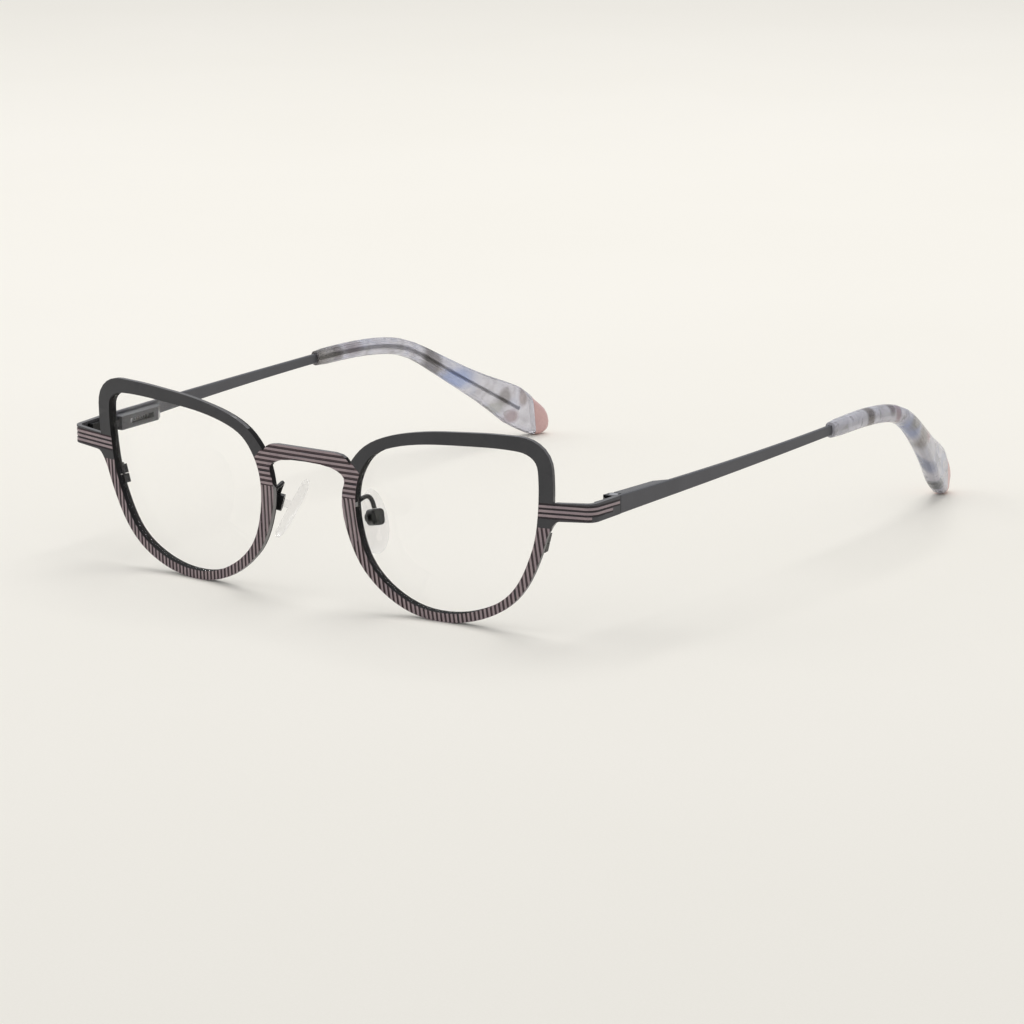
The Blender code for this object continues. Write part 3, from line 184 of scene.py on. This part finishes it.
def solid(name, dark, light, patch, rough, grain, depth, **values):
    """A finish of two close colours in soft patches, with a fine grain in colour, gloss and relief."""
    material, tree, shader, place = blank(name, **values)
    patches = noise(tree, place, patch)
    fine = noise(tree, place, grain, 4.0)
    both = add(tree, "ShaderNodeMath", {0: patches, 1: fine}, operation="ADD").outputs[0]
    share = spread(tree, both, 0.0, 0.5)
    tree.links.new(ramp(tree, share, ((0.38, dark), (0.62, light))), shader.inputs["Base Color"])
    tree.links.new(spread(tree, fine, rough[0], rough[1]), shader.inputs["Roughness"])
    bump(tree, shader, fine, depth)
    return material


# Matte charcoal lacquer on the brow: nearly black, a fine spray grain breaks up the highlight.
BROW_PAINT = solid("matte charcoal lacquer", "#2b2b2f", "#363639", 6 * MM, (0.42, 0.58), 0.16 * MM,
                   0.006 * MM)
# The same lacquer on the temples, a shade lighter, seen from the side.
TEMPLE_PAINT = solid("matte temple lacquer", "#45454a", "#4f4f54", 8 * MM, (0.40, 0.55), 0.16 * MM,
                     0.006 * MM)
# Pink-taupe metal lacquer left standing between the engraved lines: the light stripes.
LINE_PINK = solid("pink taupe metal lacquer", "#8d7d83", "#9f8e90", 2 * MM, (0.35, 0.5), 0.1 * MM, 0.005 * MM)
# Dark brown at the bottom of the engraved lines.
LINE_DARK = solid("engraved dark brown", "#3a2c2f", "#473539", 1 * MM, (0.5, 0.7), 0.08 * MM, 0.006 * MM)
# Blackish maroon at the bottom of the lines on the lugs.
LUG_DARK = solid("engraved blackish maroon", "#20161a", "#2b1e23", 1 * MM, (0.5, 0.7), 0.08 * MM, 0.006 * MM)
# Walls of the engraved lines: painted shade, a deep maroon that stands for the pink walls in shadow and tints
# the dark gaps.
LINE_WALL_SHADE = solid("line wall painted shade", "#594449", "#664b51", 1 * MM, (0.4, 0.6), 0.08 * MM, 0.004 * MM)
# The brow's lacquer on the outer side of the lugs, between the tones of brow and temple.
LUG_PAINT = solid("matte lug lacquer", "#3b3b3f", "#464549", 3 * MM, (0.42, 0.58), 0.16 * MM, 0.006 * MM)
# Cut edges of the sheet: smoother charcoal lacquer, which shines where they face up; its tone, lighter than
# the brow's, is painted light.
EDGE_GLOSS_AND_LIGHT = solid("cut edge lacquer with painted light", "#4b4a4c", "#575557", 3 * MM, (0.2, 0.3), 0.12 * MM,
                   0.004 * MM)
# Cut edge at the nose: worn to a mid grey.
EDGE_GREY = solid("nose edge grey lacquer", "#6f6d6d", "#7f7c7c", 3 * MM, (0.3, 0.45), 0.12 * MM, 0.005 * MM)
# Walls inside the lens openings and beside the bridge: painted shade, the sheet's lacquer made nearly black,
# without a highlight.
WALL_PAINTED_SHADE = solid("inner wall painted shade", "#100f10", "#191819", 4 * MM, (0.6, 0.75), 0.12 * MM, 0.005 * MM,
                  Specular_IOR_Level=0.15)
# Satin dark lacquer of the lens wire behind the rims.
WIRE_DARK = solid("dark satin eyewire lacquer", "#161617", "#1f1f20", 3 * MM, (0.5, 0.65), 0.12 * MM,
                  0.004 * MM, Specular_IOR_Level=0.15)
# Black satin lacquer of the pad arms, boxes and screws, the rim locks and the hinge leaves.
BLACK = solid("black satin lacquer", "#0f0f10", "#19191a", 2 * MM, (0.2, 0.32), 0.1 * MM, 0.003 * MM,
              Specular_IOR_Level=0.2)
# Nickel silver of the hinge screw, the spring and its stop, satin ground.
STEEL = solid("satin nickel silver", "#a9a9ae", "#bebec2", 1.5 * MM, (0.25, 0.4), 0.06 * MM, 0.003 * MM,
              Metallic=1.0)
# Spring case and tongue: charcoal lacquer with more gloss, so that its top catches the light.
CASE_PAINT = solid("glossy case lacquer", "#2e2e33", "#3e3e43", 1.6 * MM, (0.18, 0.3), 0.12 * MM, 0.004 * MM)


def clear(name, tint, rough, ior, grain, depth, clearness, veil):
    """Clear plastic, faintly wavy. The veil bends and reflects light, and clearness is how clear it is."""
    material, tree, shader, place = blank(name, Transmission_Weight=clearness, IOR=ior)
    waves = noise(tree, place, grain)
    tree.links.new(ramp(tree, waves, ((0.3, tint), (0.7, "#ffffff"))), shader.inputs["Base Color"])
    tree.links.new(spread(tree, waves, rough[0], rough[1]), shader.inputs["Roughness"])
    bump(tree, shader, waves, depth)
    through = add(tree, "ShaderNodeBsdfTransparent").outputs["BSDF"]
    both = add(tree, "ShaderNodeMixShader", {0: veil, 1: through, 2: shader.outputs["BSDF"]})
    tree.links.new(both.outputs["Shader"], tree.nodes["Material Output"].inputs["Surface"])
    return material


# Clear demonstration lens: all but unseen, a faint sheen.
LENS_CLEAR = clear("clear lens plastic", "#fdfefe", (0.0, 0.004), 1.5, 12 * MM, 0.0005 * MM, 1.0, 0.03)
# Clear soft silicone of the nose pads: faint rims and a dull inside.
PAD_CLEAR = clear("clear pad silicone", "#dcd8dc", (0.25, 0.35), 1.42, 5 * MM, 0.004 * MM, 0.6, 0.22)


def marks(tree, place, colour, spots):
    """Soft patches of colour at given places: centre and half sizes in mm, and the colour."""
    for centre, half, code in spots:
        moved = add(tree, "ShaderNodeMapping", {"Vector": place, "Location": [c * MM for c in centre],
                                               "Scale": [h * MM for h in half]}, vector_type="TEXTURE")
        length = add(tree, "ShaderNodeVectorMath", {0: moved.outputs["Vector"]}, operation="LENGTH")
        inputs = {"Value": length.outputs["Value"], "From Min": PATCH_CORE, "From Max": 1.0,
                  "To Min": PATCH_STRENGTH, "To Max": 0.0}
        share = add(tree, "ShaderNodeMapRange", inputs).outputs["Result"]
        colour = mix(tree, share, colour, linear(code))
    return colour


def acetate(name, clearness, spots):
    """Marbled grey acetate, polished: milky clouds with brown flecks and patches, part see-through."""
    material, tree, shader, place = blank(name, Transmission_Weight=clearness, IOR=1.5, Roughness=0.16)
    clouds = noise(tree, place, 6 * MM, 4.0, 1.2)
    flecks = noise(tree, place, 2.0 * MM, 5.0, 0.8)
    base = ramp(tree, clouds, ((0.30, "#bdbcc0"), (0.42, "#d5d4dd"), (0.55, "#e3e2eb"), (0.68, "#c5cadd")))
    brown = ramp(tree, flecks, ((0.32, "#8d8380"), (0.42, "#ffffff")))
    marbled = add(tree, "ShaderNodeMix", {0: 0.5, 6: base, 7: brown}, data_type="RGBA",
                  blend_type="MULTIPLY")
    tree.links.new(marks(tree, place, marbled.outputs[2], spots), shader.inputs["Base Color"])
    bump(tree, shader, flecks, 0.01 * MM)
    return material


# Left tip: dark brown bands before and on the bend, blue middle, brown patch, dark low corner.
LEFT_ACETATE = acetate("left marbled acetate", 0.5, (
    ((63.0, 22.9, 26.0), (5.0, 1.9, 9.0), "#54463f"),
    ((62.0, 32.2, 27.4), (5.0, 1.9, 3.4), "#5c484e"),
    ((62.3, 34.8, 25.6), (5.0, 1.6, 4.5), "#ab929c"),
    ((60.2, 41.2, 19.4), (5.0, 7.0, 5.0), "#99a5cb"),
    ((61.0, 44.0, 21.3), (2.0, 4.0, 2.2), "#9b9894"),
    ((59.4, 49.6, 17.6), (3.0, 4.0, 5.2), "#8f8885"),
    ((59.4, 53.4, 17.0), (3.0, 2.4, 2.2), "#a98488"),
    ((55.7, 56.0, 9.5), (1.8, 8.0, 5.0), "#8c93ad"),
    ((53.4, 65.0, 3.0), (3.0, 3.6, 2.8), "#5b6263"),
))
# Right tip, clearer: brown-grey front, dark band behind the bend, blue patch, flecks at the end.
RIGHT_ACETATE = acetate("right marbled acetate", 0.8, (
    ((-60.9, 9.6, 26.2), (5.0, 5.5, 6.0), "#8b8681"),
    ((-60.5, 14.4, 26.4), (4.0, 2.2, 2.6), "#6a605d"),
    ((-60.2, 19.4, 26.7), (4.0, 3.4, 3.0), "#a59ca3"),
    ((-57.7, 44.0, 20.1), (4.0, 3.4, 8.0), "#4d4644"),
    ((-56.2, 49.9, 15.2), (4.0, 7.5, 3.2), "#93a7d8"),
    ((-52.2, 62.8, 9.7), (4.0, 2.2, 2.6), "#6b6563"),
    ((-51.6, 64.6, 5.2), (4.0, 2.2, 2.0), "#94797d"),
    ((-50.7, 67.5, 9.2), (4.0, 1.4, 2.8), "#93827f"),
    ((-53.0, 60.3, 7.6), (4.0, 3.0, 2.0), "#a3a49e"),
))
# Solid pink acetate at the ends of the tips.
PINK = solid("pink acetate", "#caa29f", "#d7b2af", 3 * MM, (0.18, 0.28), 0.3 * MM, 0.004 * MM)


# Pieces

def merged_copy(node, name):
    """A new object with the node's own shape, its loose triangles joined."""
    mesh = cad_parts[node].data.copy()
    mesh.name = name
    piece = bpy.data.objects.new(name, mesh)
    bpy.context.scene.collection.objects.link(piece)
    bm = bmesh.new()
    bm.from_mesh(mesh)
    bmesh.ops.remove_doubles(bm, verts=bm.verts, dist=MERGE)
    bmesh.ops.dissolve_degenerate(bm, edges=bm.edges, dist=MERGE)
    bmesh.ops.recalc_face_normals(bm, faces=bm.faces)
    return piece, bm


def close(piece, bm, materials):
    """Writes the mesh back with its materials."""
    piece.data.materials.clear()
    for material in materials:
        piece.data.materials.append(material)
    bm.to_mesh(piece.data)
    bm.free()


def is_front(face):
    """True for the outer face of the sheet: the front, the bend and the lug's side."""
    centre, normal = face.calc_center_median(), face.normal
    if abs(centre.x) <= LUG_TURN_X:
        return normal.y < -FRONT_FACING
    outward = normal.x * math.copysign(1, centre.x)
    return abs(normal.z) < LUG_TILT and (outward > LUG_FACING or normal.y < -LUG_TILT)


def brow_side(point):
    """Distance past the slanted end of the bridge's lines, above zero on the brow."""
    high, low = BROW_LINE
    along, across = (high - low).normalized(), Vector((abs(point.x), 0.0, point.z)) - low
    return across.x * along.z - across.z * along.x


def hatch_top(point):
    """Where the upright lines of the lower rim end, higher at the nose than at the temple."""
    return HATCH_TOP_NASAL if abs(point.x) < NASAL_LIMIT else HATCH_TOP_TEMPORAL


def hatch_lean(side):
    """How far the upright lines lean: only those of the left eye do."""
    return HATCH_LEAN if side > 0 else 0.0


def lug_level(point):
    """Height of a point with the slight rise of the lug's lines taken off."""
    return point.z - LUG_LINE_RISE * (abs(point.x) - LUG_LINE_START)


def region(point):
    """Which lines cover a point of the front."""
    out = abs(point.x)
    in_rows = LUG_LINES[0] - LUG_HALF_WIDTH < lug_level(point) < LUG_LINES[-1] + LUG_HALF_WIDTH
    if out > LUG_LINE_START - LUG_LINE_LEAD and in_rows:
        return "lug"
    if out < NASAL_LIMIT and point.z > BRIDGE_FIRST:
        return "bridge" if brow_side(point) < 0 else "brow"
    if point.z < hatch_top(point) and out < LUG_TURN_X:
        return "hatch"
    return "brow"


def faces_of(geometry):
    """The faces among edges and corners."""
    return [g for g in geometry if isinstance(g, bmesh.types.BMFace)]


def with_parts(faces):
    """Faces with their edges and corners."""
    edges = {edge for face in faces for edge in face.edges}
    verts = {vert for face in faces for vert in face.verts}
    return list(faces) + list(edges) + list(verts)


def cut(bm, geom, point, normal):
    """Cuts by a plane; returns the cut's new corners and all the geometry."""
    result = bmesh.ops.bisect_plane(bm, geom=geom, dist=MERGE / 10, plane_co=point, plane_no=normal)
    return [v for v in result["geom_cut"] if isinstance(v, bmesh.types.BMVert)], result["geom"]


def engrave(bm, name, side, start, normal, offsets, width, ends):
    """Grooves of that width across a region's faces: sloping walls and a floor pressed into the sheet."""
    faces = [f for f in bm.faces if is_front(f) and region(f.calc_center_median()) == name
             and f.calc_center_median().x * side >= 0]
    geom = with_parts(faces)
    floor = set()
    for offset in offsets:
        for reach, low in ((-width / 2, False), (LINE_SLOPE - width / 2, True),
                           (width / 2 - LINE_SLOPE, True), (width / 2, False)):
            verts, geom = cut(bm, geom, start + normal * (offset + reach), normal)
            if low:
                floor.update(verts)
    inward = {}
    for vert in floor:
        if not vert.is_valid or ends(vert.co):
            continue
        total = Vector()
        for face in vert.link_faces:
            if is_front(face):
                total -= face.normal
        inward[vert] = total.normalized()
    for vert, way in inward.items():
        vert.co += way * LINE_DEPTH


front, bm = merged_copy("front_plate", "engraved_front")
sharp = [e for e in bm.edges if e.is_manifold and e.calc_face_angle() > EDGE_SHARP]
bmesh.ops.bevel(bm, geom=sharp, offset=EDGE_ROUND, offset_type="OFFSET", segments=EDGE_STEPS, profile=0.5,
                affect="EDGES", material=-1, clamp_overlap=True)

rows = int((BRIDGE_TOP - BRIDGE_FIRST) / BRIDGE_PITCH) + 1
columns = int((HATCH_LAST - HATCH_FIRST) / HATCH_PITCH) + 1
upright, along = Vector((0, 0, 1)), Vector((0, 1, 0))
for _, side in SIDES:
    whole = with_parts([f for f in bm.faces if is_front(f) and f.calc_center_median().x * side > 0])
    low, high = (Vector((side * p.x, 0.0, p.z)) for p in BROW_LINE)
    brow_normal = Vector((-(high - low).z, 0.0, (high - low).x)).normalized()
    lug_normal = Vector((-side * LUG_LINE_RISE, 0.0, 1.0)).normalized()
    borders = [(Vector((0, 0, BRIDGE_FIRST)), upright), (Vector((0, 0, HATCH_TOP_TEMPORAL)), upright),
               (low, brow_normal),
               (Vector((side * LUG_LINE_START, 0, LUG_LINES[0] - LUG_HALF_WIDTH)), lug_normal),
               (Vector((side * LUG_LINE_START, 0, LUG_LINES[-1] + LUG_HALF_WIDTH)), lug_normal)]
    for point, normal in borders:
        _, whole = cut(bm, with_parts(faces_of(whole)), point, normal)
    for end in LUG_ENDS:
        for place in (end, end + LINE_END):
            turned = [f for f in faces_of(whole) if abs(f.calc_center_median().x) > LUG_CUTS_X]
            rest = [f for f in faces_of(whole) if abs(f.calc_center_median().x) <= LUG_CUTS_X]
            _, whole = cut(bm, with_parts(turned), Vector((0, place, 0)), along)
            whole += rest
    engrave(bm, "bridge", side, Vector((0, 0, BRIDGE_FIRST)), upright,
            [BRIDGE_PITCH * i for i in range(rows)], BRIDGE_GROOVE,
            lambda p: brow_side(p) > -LINE_END)
    engrave(bm, "hatch", side, Vector((side * HATCH_FIRST, 0, HATCH_TOP_NASAL)),
            Vector((side, 0, side * hatch_lean(side))).normalized(),
            [HATCH_PITCH * i for i in range(columns)], HATCH_GROOVE,
            lambda p: p.z > hatch_top(p) - LINE_END)
    for level, end in LUG_GROOVES:
        engrave(bm, "lug", side, Vector((side * LUG_LINE_START, 0, 0)), lug_normal, [level], LUG_GROOVE,
                lambda p: p.y > end - MERGE)

# Finish slots: the line walls and the opening walls hold painted shade, the glossy edges hold painted light.
PAINT, PINK_LINE, GROOVE, SHADED_LINE_WALL, GREY, SHADED_WALL, GLOSS_AND_LIGHT, LUG, LUG_FLOOR = range(9)


def line_part(position, width, pitch):
    """Where a place lies in a row of grooves: groove floor, groove wall, or the line between."""
    away = abs((position + pitch / 2) % pitch - pitch / 2)
    if away < width / 2 - LINE_SLOPE:
        return GROOVE
    # The groove walls take the maroon painted shade.
    return SHADED_LINE_WALL if away < width / 2 else PINK_LINE


def line_finish(centre):
    """The finish of a place on the outer face of the sheet."""
    name, side = region(centre), math.copysign(1, centre.x)
    if name == "bridge":
        return line_part(centre.z - BRIDGE_FIRST, BRIDGE_GROOVE, BRIDGE_PITCH)
    if name == "hatch":
        lean = hatch_lean(side)
        place = (abs(centre.x) - HATCH_FIRST + lean * (centre.z - HATCH_TOP_NASAL)) / math.hypot(1, lean)
        return line_part(place, HATCH_GROOVE, HATCH_PITCH)
    finish = LUG if abs(centre.x) > LUG_TURN_X else PAINT
    if name == "lug":
        z = lug_level(centre)
        for line, end in zip(LUG_LINES, LUG_ENDS):
            if abs(z - line) < LUG_LINE_WIDTH / 2 and centre.y < end:
                finish = PINK_LINE
        for level, end in LUG_GROOVES:
            if abs(z - level) < LUG_GROOVE / 2 and centre.y < end:
                # The lug grooves' walls take the same maroon painted shade.
                finish = LUG_FLOOR if abs(z - level) < LUG_GROOVE / 2 - LINE_SLOPE else SHADED_LINE_WALL
    return finish


def wall_finish(centre, normal):
    """The finish of a cut wall: painted shade in the lens openings, grey at the nose, glossy and lighter with
    painted light elsewhere.
    """
    side = math.copysign(1, centre.x)
    if OPENING_X[0] < abs(centre.x) < OPENING_X[1] and OPENING_Z[0] < centre.z < OPENING_Z[1]:
        inward = Vector((side * EYE_CENTRE_X, 0, EYE_CENTRE_Z)) - centre
        if inward.x * normal.x + inward.z * normal.z > 0:
            # Walls that face into the opening get painted shade.
            return SHADED_WALL
    if centre.z < NOSE_EDGE_Z:
        # Low walls away from the nose take the lighter glossy edge with painted light.
        return GREY if abs(centre.x) < NOSE_EDGE_X else GLOSS_AND_LIGHT
    # Beside the bridge, walls that don't face up get painted shade; the rest get the lighter glossy edge with
    # painted light.
    return SHADED_WALL if abs(centre.x) < BROW_EDGE_X and abs(normal.z) < TOP_FACING else GLOSS_AND_LIGHT


for face in bm.faces:
    centre, normal = face.calc_center_median(), face.normal
    if is_front(face):
        face.material_index = line_finish(centre)
    elif abs(normal.y) < WALL_FACING or abs(centre.x) > LUG_TURN_X:
        face.material_index = wall_finish(centre, normal)
    else:
        face.material_index = PAINT
close(front, bm, [BROW_PAINT, LINE_PINK, LINE_DARK, LINE_WALL_SHADE, EDGE_GREY, WALL_PAINTED_SHADE, EDGE_GLOSS_AND_LIGHT, LUG_PAINT,
                  LUG_DARK])
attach(front, "front")
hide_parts("front_plate")


# Finishes of the CAD pieces

def dress(node, material):
    """A CAD node in its new finish."""
    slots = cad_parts[node].data.materials
    slots.clear()
    slots.append(material)


for word, side in SIDES:
    looks = {"eyewire": WIRE_DARK, "lens": LENS_CLEAR, "rim_lock_upper": BLACK, "rim_lock_lower": BLACK,
             "rim_lock_screw": BLACK, "nose_pad": PAD_CLEAR, "pad_box": BLACK, "pad_screw": BLACK,
             "pad_arm": BLACK, "hinge_leaf": BLACK, "hinge_screw": STEEL, "spring_tongue": CASE_PAINT,
             "spring_case": CASE_PAINT, "spring_stop": STEEL, "hinge_spring": STEEL,
             "temple_bar": TEMPLE_PAINT, "temple_tip": LEFT_ACETATE if side > 0 else RIGHT_ACETATE,
             "tip_end": PINK}
    for part, material in looks.items():
        dress(word + "_" + part, material)


# Floor, light, camera

def plane(name, half, material):
    """A flat square on the floor."""
    mesh = bpy.data.meshes.new(name)
    sheet = bmesh.new()
    bmesh.ops.create_grid(sheet, x_segments=1, y_segments=1, size=half)
    sheet.to_mesh(mesh)
    sheet.free()
    made = bpy.data.objects.new(name, mesh)
    made.data.materials.append(material)
    bpy.context.scene.collection.objects.link(made)
    return made


FLOOR = solid("cream paper", "#f4f0e6", "#f7f3ea", 200 * MM, (0.7, 0.8), 0.4 * MM, 0.01 * MM)
floor = plane("floor", FLOOR_HALF, FLOOR)


def lamp(name, place, aim, size, power, code):
    """A soft square lamp that points at a place."""
    light = bpy.data.lights.new(name, "AREA")
    light.shape = "SQUARE"
    light.size = size
    light.energy = power
    light.color = linear(code)[:3]
    made = bpy.data.objects.new(name, light)
    made.location = place
    made.rotation_euler = (Vector(aim) - Vector(place)).to_track_quat("-Z", "Y").to_euler()
    bpy.context.scene.collection.objects.link(made)


lamp("top_lamp", code="#ffffff", **TOP_LAMP)
lamp("left_lamp", code="#ffffff", **LEFT_LAMP)

world = bpy.data.worlds.new("studio")
bpy.context.scene.world = world
world.use_nodes = True
tree = world.node_tree
tree.nodes.clear()
path = add(tree, "ShaderNodeLightPath")
seen = add(tree, "ShaderNodeMath", {0: path.outputs["Is Camera Ray"], 1: path.outputs["Is Transmission Ray"]},
           operation="MAXIMUM").outputs[0]
around = add(tree, "ShaderNodeBackground", {"Color": linear("#f2f3f5"), "Strength": STUDIO_LIGHT})
behind = add(tree, "ShaderNodeBackground", {"Color": linear("#f5f3ef"), "Strength": 1.0})
chosen = add(tree, "ShaderNodeMixShader", {0: seen, 1: around.outputs[0], 2: behind.outputs[0]})
add(tree, "ShaderNodeOutputWorld", {"Surface": chosen.outputs[0]})

back = Vector((math.sin(AZIMUTH) * math.cos(ELEVATION), -math.cos(AZIMUTH) * math.cos(ELEVATION),
               math.sin(ELEVATION)))
right = Vector((math.cos(AZIMUTH), math.sin(AZIMUTH), 0.0))
up = back.cross(right)
camera = bpy.data.objects.new("camera", bpy.data.cameras.new("camera"))
camera.data.lens = LENS_MM
camera.data.sensor_width = SENSOR_MM
camera_place = AIM + back * DISTANCE + right * PAN_RIGHT - up * PAN_DOWN
camera.matrix_world = Matrix.Translation(camera_place) @ Matrix((right, up, back)).transposed().to_4x4()
bpy.context.scene.collection.objects.link(camera)
bpy.context.scene.camera = camera
bpy.context.scene.view_settings.view_transform = "Standard"
